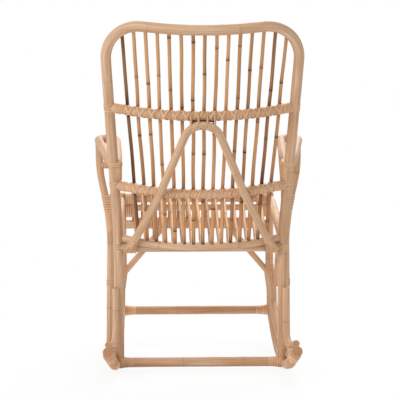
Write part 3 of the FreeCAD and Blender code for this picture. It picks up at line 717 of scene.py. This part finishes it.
brace_path = bent([brace_foot, brace_cross, brace_vertex, flip(brace_cross), flip(brace_foot)],
                  [BRACE_BEND, BRACE_TOP, BRACE_BEND])
single("brace_pole", "back_brace", brace_path, BRACE, spacing=260, strength=0.25)

# Runners; the outer one is the front leg, and spreads a little towards its tail
ROCKER_STEPS, FRONT_STEPS = 120, 24


def swung(centre, radius, angle):
    """A point on a circle seen from the side, by its angle from the lowest point to the rear."""
    return centre + vec(0, radius * math.sin(angle), -radius * math.cos(angle))


def runner_z(y, rise=0.0):
    """The height of the inner runner, or of what lies that much above it, at a place along it."""
    return ROCKER_Z - math.sqrt((ROCKER - rise) ** 2 - (y - ROCKER_Y) ** 2)


def runner_path(x, rise, tail, leg_points):
    """A runner from its tail along the floor, round the front bend and up the leg."""
    radius, bend, leg_y = ROCKER - rise, RUNNER_BEND - rise, INNER_LEG_Y + rise
    reach = radius - bend
    front = -math.asin((ROCKER_Y - leg_y - bend) / reach)
    rear = math.asin((tail - ROCKER_Y) / radius)
    hub = vec(x, ROCKER_Y, ROCKER_Z)
    centre = swung(hub, reach, front)
    rocker = arc_through(lambda t: swung(hub, radius, t), rear, front, ROCKER_STEPS)
    turn = arc_through(lambda t: swung(centre, bend, t), front, -math.pi / 2, FRONT_STEPS)
    leg = bent([turn[-1]] + leg_points, [SWAY_RADIUS] * len(leg_points))
    return np.vstack([rocker, turn[1:], leg[1:]])


inner_leg = [vec(RUNNER_X, INNER_LEG_Y, INNER_SWAY_LOW), vec(INNER_TOP_X, INNER_LEG_Y, INNER_TOP)]
outer_leg = [vec(OUTER_X, FRONT_LEG_Y, SWAY_LOW), vec(FRONT_LEG_X, FRONT_LEG_Y, SWAY_HIGH),
             vec(FRONT_LEG_X, FRONT_LEG_Y, FRONT_LEG_TOP)]
inner_path = runner_path(RUNNER_X, 0.0, INNER_TAIL, inner_leg)
outer_path = runner_path(OUTER_X, RISE, OUTER_TAIL, outer_leg)
outer_path[:, 0] += SPLAY * np.maximum(outer_path[:, 1] - FRONT_LEG_Y, 0)
both("inner_runner_pole", "inner_runner", inner_path, RUNNER, spacing=230, strength=0.2, rough=0.0, cut=0.3)
both("outer_runner_pole", "outer_runner", outer_path, RUNNER, spacing=230, strength=0.2, taper=(1.16, 0.92),
     tone=0.05)

# Stretchers, side rails and front rails
stretchers = {"rear": (LEG_Y, runner_z(LEG_Y) + STRETCHER_LIFT, 0.2),
              "front": (INNER_LEG_Y + FRONT_STRETCHER_BACK, FRONT_STRETCHER_Z, 0.46)}
for label, (y, z, tone) in stretchers.items():
    path = crosswise(RUNNER_X - SHORT, SHORT - RUNNER_X, y, z)
    single(label + "_stretcher_pole", label + "_stretcher", path, STRETCHER, spacing=240, strength=0.18,
           tone=tone)
middle_y = DROP_Y + SPINDLE / 2 + MIDDLE_RAIL / 2 + GAP
rail_end = SIDE_X - SIDE_RAIL / 2 - GAP
for label, y, z, thickness in (("front_top", FRONT_RAIL_Y, FRONT_RAIL_Z, RAIL),
                               ("front_middle", middle_y, MIDDLE_RAIL_Z, MIDDLE_RAIL),
                               ("front_lower", DROP_Y, LOWER_FRONT_Z, RAIL)):
    single(label + "_pole", label + "_rail", crosswise(rail_end, -rail_end, y, z), thickness)
side_path = np.array([vec(SIDE_X - SHORT, LEG_Y - REAR_SHORT, SIDE_REAR_Z),
                      vec(SIDE_X, FRONT_LEG_Y + FRONT_SHORT, SIDE_FRONT_Z)])
both("side_rail_pole", "side_seat_rail", side_path, SIDE_RAIL, cut=0.2, shaved=(40.0, 0.75))

# Seat spindles
SEAT_TONES = [0.0, 0.0, 0.05, 0.12, 0.35]
skin = Skin()
for step in FROM_MIDDLE:
    rear = spindle_rail_at(step * FOOT_STEP)
    x = step * FRONT_STEP
    slope = math.atan2(FRONT_RAIL_Z + OVER_RAIL - rear[2], rear[1] - FRONT_RAIL_Y)
    corner = vec(x, DROP_Y, FRONT_RAIL_Z + OVER_RAIL / math.cos(slope) + OVER_RAIL * math.tan(slope))
    path = bent([rear, corner, vec(x, DROP_Y, LOWER_FRONT_Z)], [OVER_RAIL])
    pole(skin, path, SPINDLE, sides=16, step=5.0, spacing=205, strength=0.9, tone=chance.choice(SEAT_TONES),
         sway=0.9, mottled=0.06)
skin.piece("seat_canes", "rattan_spindle", "seat_spindles")

# Arms
RUNG_WOUND = RUNG / 2 + 1.6
arm_rear = back_point(post_x(ARM_HEIGHT), ARM_HEIGHT)


def arm_end(side):
    return arm_rear + X_AXIS * (side * (ARM + GAP) / 2)


def arm_corner(side):
    turn = vec(ARM_X + side * ARM_HALF, ARM_FRONT_Y + ARM / 2 + ARM_HALF, ARM_FRONT_Z)
    return turn + unit(turn - arm_end(side)) * ARM_HALF


def side_rail_z(y):
    return SIDE_REAR_Z + (SIDE_FRONT_Z - SIDE_REAR_Z) / (LEG_Y - FRONT_LEG_Y) * (LEG_Y - y)


arm_path = bent([arm_end(1) - X_AXIS * ARM_DRAWN_IN, arm_corner(1), arm_corner(-1), arm_end(-1)],
                [ARM_HALF, ARM_HALF])
both("arm_pole", "arm_loop", arm_path, ARM, spacing=260, strength=0.3, tone=0.17, cut=0.2, shaved=(70.0, 0.6))
knee = vec(SIDE_X + (SIDE_RAIL + ARM_POST) / 2 + GAP, ARM_POST_Y, side_rail_z(ARM_POST_Y))
outer_top = vec(ARM_X + ARM_HALF, ARM_POST_Y, ARM_FRONT_Z)
post_foot = vec(ARM_POST_FOOT_X, ARM_POST_Y, runner_z(ARM_POST_Y, RISE) - FOOT_SUNK)
shoulder = vec(outer_top[0], ARM_POST_Y, SHOULDER_Z)
arm_post_path = bent([post_foot, knee, shoulder, outer_top - Z_AXIS * SHORT], [ARM_POST_BEND, SHOULDER_BEND])
both("arm_post_pole", "arm_post", arm_post_path, ARM_POST, spacing=230, strength=0.35, tone=0.1)
inner_top = vec(ARM_X - ARM_HALF, ARM_POST_Y, ARM_FRONT_Z)
inner_foot = vec(knee[0], ARM_POST_Y, INNER_FOOT_Z)
inner_post_path = np.array([inner_foot, inner_top - Z_AXIS * SHORT])
both("inner_post_pole", "inner_arm_post", inner_post_path, INNER_POST, spacing=160, tone=0.2)
rung_path = crosswise(inner_top[0] + RUNG_SHORT, outer_top[0] - SHORT, ARM_POST_Y, RUNG_Z)
for hand, side in ((1, "left"), (-1, "right")):
    skin = Skin()
    wrap(skin, rung_path * [hand, 1, 1], RUNG_WOUND, pitch=6.0, groove_shade=0.9)
    skin.piece("rung_lashing_" + side, "rattan_peel", "arm_rung_" + side)

# Braces
corner_path = np.array([vec(CORNER_X, DROP_Y, LOWER_FRONT_Z),
                        vec(FRONT_LEG_X - SHORT, FRONT_LEG_Y, CORNER_Z + SHORT)])
both("corner_brace_pole", "corner_brace", corner_path, CORNER_BRACE, spacing=150)
side_brace_path = np.array([vec(SIDE_BRACE_TOP_X, SIDE_BRACE_Y, side_rail_z(SIDE_BRACE_Y)),
                            vec(SIDE_BRACE_FOOT_X, FRONT_LEG_Y, SIDE_BRACE_Z)])
both("side_brace_pole", "side_brace", side_brace_path, CORNER_BRACE, spacing=150)
brace_rise = RISE + RUNNER / 2 + LEG_BRACE / 2 + GAP
brace_y = LEG_Y + POST / 2 + LEG_BRACE / 2 + GAP
brace_tail_x = OUTER_X + SPLAY * (LEG_BRACE_TAIL - FRONT_LEG_Y)
leg_brace_path = bent([vec(LEG_BRACE_X, brace_y, LEG_BRACE_TOP),
                       vec(LEG_BRACE_X, brace_y, runner_z(brace_y, brace_rise)),
                       vec(brace_tail_x, LEG_BRACE_TAIL, runner_z(LEG_BRACE_TAIL, brace_rise))],
                      [LEG_BRACE_BEND])
both("leg_brace_pole", "rear_leg_brace", leg_brace_path, LEG_BRACE, spacing=150, strength=0.3, cut=0.6)

# Peel at the joints
COLLAR = 22.0
post_line = vec(BACK_FAN, *BACK_UP[1:])


def collar(skin, centre, axis):
    half = unit(axis) * (COLLAR / 2)
    wrap(skin, np.array([centre - half, centre + half]), POST / 2)


def post_bindings(skin, side):
    for height in (UPPER, LOWER):
        collar(skin, back_point(post_x(height), height) * side, post_line * side)


def seat_bindings(skin, side):
    collar(skin, vec(LEG_X, LEG_Y, REAR_RAIL_Z) * side, Z_AXIS)


def arm_post_bindings(skin, side):
    ring = between(arm_post_path, RING_Z - COLLAR / 2, RING_Z + COLLAR / 2)
    wrap(skin, ring * side, ARM_POST / 2, pitch=6.2, thick=1.6, groove_shade=0.9)


SLEEVE_ABOVE, SLEEVE_BELOW, SLEEVE_BESIDE, SLEEVE_STEPS, SLEEVE_BOUND = 9.0, 14.0, 12.0, 40, 11
SLEEVE_POST, SLEEVE_ARM, SLEEVE_LOOP = POST / 2 - 0.6, (ARM / 2 - 0.6, ARM / 2 - 4.0), ARM / 2 - 0.8


def arm_bindings(skin, side):
    """The sleeve that holds the arm's inner end down along the post."""
    heights = np.linspace(ARM_HEIGHT + SLEEVE_ABOVE, LOWER + SLEEVE_BELOW, SLEEVE_STEPS)
    post = np.array([back_point(post_x(height), height) for height in heights])
    beside = (post - X_AXIS * SLEEVE_BESIDE) * side
    post = post * side
    wrap(skin, post, SLEEVE_POST, beside, SLEEVE_ARM, pitch=9.0, thick=0.2, groove_shade=0.0, tone=0.15)
    wrap(skin, post[:SLEEVE_BOUND], POST / 2, beside[:SLEEVE_BOUND], SLEEVE_LOOP, pitch=6.2, groove_shade=0.7)


LONG_LOW, LONG_MIDDLE, LONG_HIGH = 392.0, 452.0, 501.0
LONG_ASIDE, LONG_INNER = 1.5, INNER_POST / 2 + 0.4


def long_bindings(skin, side):
    """The two arm posts bound into one, with a plain sleeve below."""
    for low, high, pitch, groove_shade in ((LONG_LOW, LONG_MIDDLE, 3.4, 0.3),
                                     (LONG_MIDDLE, LONG_HIGH, 7.4, 0.9)):
        one = between(arm_post_path, low, high)
        two = between(inner_post_path, low, high)
        two[:, 0] = np.where(one[:, 2] < inner_foot[2], one[:, 0] - LONG_ASIDE, two[:, 0])
        wrap(skin, one * side, ARM_POST / 2, two * side, LONG_INNER, pitch=pitch, groove_shade=groove_shade)


LEG_POINTS, LEG_WRAP_BELOW, LEG_WRAP_ABOVE = 40, 14.0, 12.0
SIDE_WRAP_FAR, SIDE_WRAP_NEAR = 42.0, 8.0
CROSS_WRAP, CROSS_SUNK, CROSS_WOUND = 36.0, 3.0, STRETCHER / 2 - 0.8


def leg_bindings(skin, side):
    leg = outer_path[-LEG_POINTS:]
    wrap(skin, between(leg, SWAY_HIGH - LEG_WRAP_BELOW, SWAY_HIGH + LEG_WRAP_ABOVE) * side, RUNNER / 2)


def side_brace_bindings(skin, side):
    run = lengths(side_brace_path)[-1]
    end = stretch(side_brace_path, run - SIDE_WRAP_FAR, run - SIDE_WRAP_NEAR, END_ROWS)
    wrap(skin, end * side, CORNER_BRACE / 2, flare=2.6)


def stretcher_bindings(skin, side):
    for y, z, _ in stretchers.values():
        end = RUNNER_X - RUNNER / 2
        line = crosswise(end - CROSS_WRAP, end + CROSS_SUNK, y, z)
        wrap(skin, line * side, CROSS_WOUND, flare=4.0, pitch=7.0, groove_shade=0.6)


# The fan at a foot of the back brace: how far up the brace its strips pass and how far they stand off there,
# then their way round below the rear rail, and the core of the rail that they face away from
FAN_STRIPS, FAN_REACH, FAN_HALF, FAN_OFF, FAN_SMOOTH, FAN_LAYER = 6, 16.0, BRACE * 0.42, 0.6, 6, 0.9
FAN_LENGTH, FAN_RING, FAN_RING_TOP = 60, 28, 38
FAN_LEAVES = ((36, 0.9), (FAN_RING, 1.05), (14, vec(1.4, 1.08, 1.0)))
rail_low = REAR_RAIL_Z - RAIL / 2
FAN_FOLLOWS = ((brace_foot[1] + BRACE / 2 + 1.0, REAR_RAIL_Z + 1.0), (brace_foot[1] + 4.0, rail_low + 4.0),
               (LEG_Y + 4.0, rail_low - PEEL), (LEG_Y - 8.0, rail_low))
FAN_CORE_Y, FAN_CORE = LEG_Y + 4.0, 2.0


def brace_foot_bindings(skin, side):
    """A fan of peel from the foot of the back brace down over the rear rail."""
    fine = stretch(brace_path, 0, FAN_LENGTH, FAN_LENGTH + 1)
    up = unit(fine[-1] - fine[0])
    rear = unit(Y_AXIS - up * up[1])
    across = np.cross(up, rear)
    radius = BRACE / 2 + FAN_OFF
    wrap(skin, fine[FAN_RING:FAN_RING_TOP] * side, BRACE / 2, pitch=4.6)
    for number, part in enumerate(np.linspace(-1, 1, FAN_STRIPS)):
        u = part * FAN_HALF
        on_brace = across * u + rear * math.sqrt(radius ** 2 - u ** 2)
        x = brace_foot[0] + across[0] * part * FAN_REACH
        points = [fine[up_brace] + on_brace * off for up_brace, off in FAN_LEAVES]
        points += [vec(x, y, z) for y, z in FAN_FOLLOWS]
        path = smooth(np.array(points), FAN_SMOOTH)
        core = np.stack([path[:, 0], np.full(len(path), FAN_CORE_Y),
                         np.clip(path[:, 2], REAR_RAIL_Z - FAN_CORE, REAR_RAIL_Z + FAN_CORE)], 1)
        strip(skin, path * side, (path - core) * side, thick=PEEL + FAN_LAYER * (number % 2))


# The ties at the top of the back brace, and a dark strip of painted shade between it and the upper rail
APEX_TIES, TIE_RAIL, TIE_WIDTH, TIE_ARC, TIE_LEAN = (12.0, 32.0), RAIL / 2 + 0.4, 3.4, 1.75, 12.0
TIE_UNDER, TIE_STEPS, TIE_NEAR, SAME_PLACE, FAVOUR_TOP = 0.1, 49, 4, 0.05, 0.02
# The dark strip of painted shade: its thickness, its offset from the rail, how short of the last tie it
# stops, its points, and close dark rings that darken it all along
SHADE_FILL, SHADE_FILL_OFF, SHADE_FILL_SHORT, SHADE_FILL_STEPS = 5.0, RAIL / 2 + 0.6, 2.0, 8
SHADE_FILL_RINGS = [(place, 1.4) for place in range(2, 32, 4)]


def crossed(skin, rail, brace, slope):
    """Two strips of peel that cross over rail and brace; slope is how the brace leaves the X axis."""
    apart = brace - rail
    apart = unit(apart - X_AXIS * (apart @ X_AXIS))
    across = np.cross(X_AXIS, apart)
    angles = np.linspace(-TIE_ARC, TIE_ARC, TIE_STEPS)
    swing = np.cos(angles)[:, None]
    outward = apart * swing + across * np.sin(angles)[:, None]
    nearer = ((brace - rail) * outward).sum(1) + BRACE / 2 > TIE_RAIL
    centres = np.where(nearer[:, None], brace, rail)
    sizes = np.where(nearer, BRACE / 2, TIE_RAIL)
    drift = X_AXIS + slope * np.maximum(swing, 0)
    for lean, layer in ((-TIE_LEAN, TIE_UNDER * PEEL), (TIE_LEAN, PEEL)):
        path = centres + outward * (sizes + layer)[:, None] + drift * (lean * swing)
        keep = np.concatenate([[True], strides(path) > SAME_PLACE])
        strip(skin, path[keep], outward[keep], width=TIE_WIDTH)


def apex_ties_and_shade_fill(skin, side):
    """Peel crossed over the upper rail and the top of the back brace, and a dark strip of painted shade
    between them.
    """
    fine = evenly(brace_path, FINE_STEPS)
    radius = rail_radius(UPPER)

    def meet(x):
        """The rail's point at x, and the number of the brace's point there."""
        here = np.argmin(np.abs(fine[:, 0] - x) - FAVOUR_TOP * fine[:, 2])
        return rail_at(UPPER, math.asin(x / radius)), here

    for x in APEX_TIES:
        rail, here = meet(x)
        run = fine[here + TIE_NEAR] - fine[here - TIE_NEAR]
        slope = (run / run[0] - X_AXIS) * side * side[0]
        crossed(skin, rail * side, fine[here] * side, slope)
    shade_fill_line = []
    for x in np.linspace(0, APEX_TIES[-1] - SHADE_FILL_SHORT, SHADE_FILL_STEPS):
        rail, here = meet(x)
        shade_fill_line.append(rail + unit(fine[here] - rail) * SHADE_FILL_OFF)
    # Painted shade: a dark strip filling the gap under the rail, darkened by full tone and close rings
    pole(skin, np.array(shade_fill_line) * side, SHADE_FILL, tone=1.0, sides=10, knots=SHADE_FILL_RINGS)


FRONT_WRAP, WRAP_SHORT, TOP_DROP, MIDDLE_DROP, MIDDLE_WOUND = 34.0, 2.0, 6.0, 18.0, MIDDLE_RAIL + 3.0
BAND_RISE, BAND_WOUND = 8.0, RAIL / 2 - 1.5
TAIL_FROM, TAIL_WRAP, TAIL_OUTER = 2.0, 30.0, RUNNER / 2 * 1.14


def front_bindings(skin, side):
    """The ends of the two upper front rails, the lower of them bound fat."""
    for y, z, thickness, drop in ((FRONT_RAIL_Y, FRONT_RAIL_Z, RAIL, TOP_DROP),
                                  (middle_y, MIDDLE_RAIL_Z, MIDDLE_WOUND, MIDDLE_DROP)):
        rail = crosswise(rail_end - FRONT_WRAP, rail_end - WRAP_SHORT, y, z)
        wrap(skin, rail * side, thickness / 2, (rail - Z_AXIS * drop) * side, thickness / 2, pitch=7.0)


def tail_bindings(skin, side):
    """The outer runner bound to the end of the inner one."""
    inner = stretch(inner_path, TAIL_FROM, TAIL_WRAP, END_ROWS)
    outer = np.array([outer_path[np.argmin(np.linalg.norm(outer_path - place, axis=1))] for place in inner])
    outer[:, 1] = inner[:, 1]
    wrap(skin, inner * side, RUNNER / 2, outer * side, TAIL_OUTER, pitch=6.8, sides=48)


for draw, *nodes in ((post_bindings, "back_post_windings"), (arm_bindings, "arm_windings"),
                     (seat_bindings, "seat_windings"), (arm_post_bindings, "arm_post_windings"),
                     (leg_bindings, "leg_windings"), (stretcher_bindings, "stretcher_windings"),
                     (long_bindings,), (side_brace_bindings,), (brace_foot_bindings,), (apex_ties_and_shade_fill,),
                     (front_bindings,), (tail_bindings,)):
    skin = Skin()
    for hand in (1, -1):
        draw(skin, np.array([hand, 1, 1]))
    skin.piece(draw.__name__, "rattan_peel", *nodes)

# The band that holds the ends of the seat canes on the lower front rail
skin = Skin()
band = crosswise(rail_end - FRONT_WRAP, FRONT_WRAP - rail_end, DROP_Y, LOWER_FRONT_Z)
wrap(skin, band, RAIL / 2, band + Z_AXIS * BAND_RISE, BAND_WOUND, pitch=7.2, groove_shade=0.45, tone=0.25)
skin.piece("front_lashing", "rattan_peel")

# Camera, fitted to the photograph beside the upright chair and rolled back with it
CAMERA_AT, CAMERA_YAW, CAMERA_PITCH, LENS = vec(109.64, 4173.47, 1110.59), -0.0274332, 0.1491492, 126.218


def stand(made, place, axes):
    """Puts a camera or lamp at its place, with its own axes as columns."""
    made.matrix_world = Matrix.Translation(place) @ Matrix(axes.tolist()).to_4x4()
    bpy.context.scene.collection.objects.link(made)


level = vec(math.sin(CAMERA_YAW), -math.cos(CAMERA_YAW), 0)
forward = level * math.cos(CAMERA_PITCH) - Z_AXIS * math.sin(CAMERA_PITCH)
right = unit(np.cross(forward, Z_AXIS))
view_up = np.cross(right, forward)
camera_data = bpy.data.cameras.new("camera")
camera_data.lens = LENS
camera = bpy.data.objects.new("camera", camera_data)
stand(camera, placed(CAMERA_AT), ROLLED @ np.stack([right, view_up, -forward], 1))
bpy.context.scene.camera = camera

# Stage and light, in metres
WHITE, FLOOR_GREY, SKY_WHITE = (1.0, 1.0, 1.0, 1.0), (0.92, 0.92, 0.92, 1.0), (1.0, 0.99, 0.98, 1.0)
SKY, SHADOW_NEAR, SHADOW_FAR, SHADOW_KEPT, SPREAD = 0.54, 0.5, 1.3, 0.1, 6.0


def seen_white(g, other, kept=0.0):
    """White to the camera and in clear reflections, less the share kept of the other shader."""
    rays = g.add("LightPath").outputs
    seen = g.maths("MAXIMUM", rays["Is Camera Ray"], rays["Is Glossy Ray"])
    seen = g.maths("MAXIMUM", seen, rays["Is Transmission Ray"])
    seen = g.maths("MULTIPLY", seen, g.maths("SUBTRACT", 1.0, kept))
    glow = g.add("Emission", {"Color": WHITE, "Strength": 1.0}).outputs[0]
    return g.add("MixShader", {0: seen, 1: other, 2: glow}).outputs[0]


floor_mesh = bpy.data.meshes.new("floor")
corners = [(-SPREAD, -SPREAD, 0), (SPREAD, -SPREAD, 0), (SPREAD, SPREAD, 0), (-SPREAD, SPREAD, 0)]
floor_mesh.from_pydata(corners, [], [(0, 1, 2, 3)])
floor = bpy.data.objects.new("floor", floor_mesh)
bpy.context.scene.collection.objects.link(floor)
floor_look = bpy.data.materials.new("floor")
g = Graph(floor_look)
matte = g.add("BsdfDiffuse", {"Color": FLOOR_GREY}).outputs[0]
away = g.add("VectorMath", {0: g.add("NewGeometry").outputs["Position"]}, operation="LENGTH").outputs["Value"]
shadow = g.ramp(away, SHADOW_NEAR, SHADOW_FAR, start=SHADOW_KEPT, end=0.0)
g.show("OutputMaterial", seen_white(g, matte, shadow))
floor_mesh.materials.append(floor_look)

world = bpy.data.worlds.new("studio")
bpy.context.scene.world = world
g = Graph(world)
sky = g.add("Background", {"Color": SKY_WHITE, "Strength": SKY}).outputs[0]
g.show("OutputWorld", seen_white(g, sky))


def lamp(name, place, aim, size, power):
    data = bpy.data.lights.new(name, "AREA")
    data.shape = "SQUARE"
    data.size = size
    data.energy = power
    back = unit(vec(*place) - vec(*aim))
    side = unit(np.cross(Z_AXIS, back))
    stand(bpy.data.objects.new(name, data), place, np.stack([side, np.cross(back, side), back], 1))


lamp("key", place=(-0.9, -2.4, 3.0), aim=(0, 0, 0.45), size=1.8, power=110)
lamp("fill", place=(2.6, 2.7, 2.8), aim=(0, 0.2, 0.5), size=2.2, power=78)

bpy.context.scene.view_settings.view_transform = "Standard"
